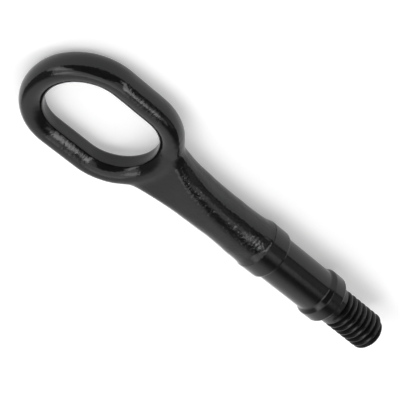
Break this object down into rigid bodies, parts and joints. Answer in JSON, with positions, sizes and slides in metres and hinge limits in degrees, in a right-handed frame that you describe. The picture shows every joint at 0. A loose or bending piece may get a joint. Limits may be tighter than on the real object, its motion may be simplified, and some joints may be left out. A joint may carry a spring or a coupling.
{
  "type": "tow eye",
  "caption": "Forged steel tow eye: an oblong eye on a flattened neck and a round shank, with turned guide collars and a coarse left-hand screw thread at its end, coated black.",
  "frame": {"origin": "on the shank axis, in the face of the guide collar that seats on the threaded socket", "axes": "+X along the shank axis towards the eye, +Z normal to the plane of the eye"},
  "size_m": [0.1859, 0.048, 0.0214],
  "materials": {
    "black_coat": "semi-gloss black coating over forged and turned steel"
  },
  "bodies": {
    "root": {"tow_eye": "black_coat"}
  },
  "joints": []
}
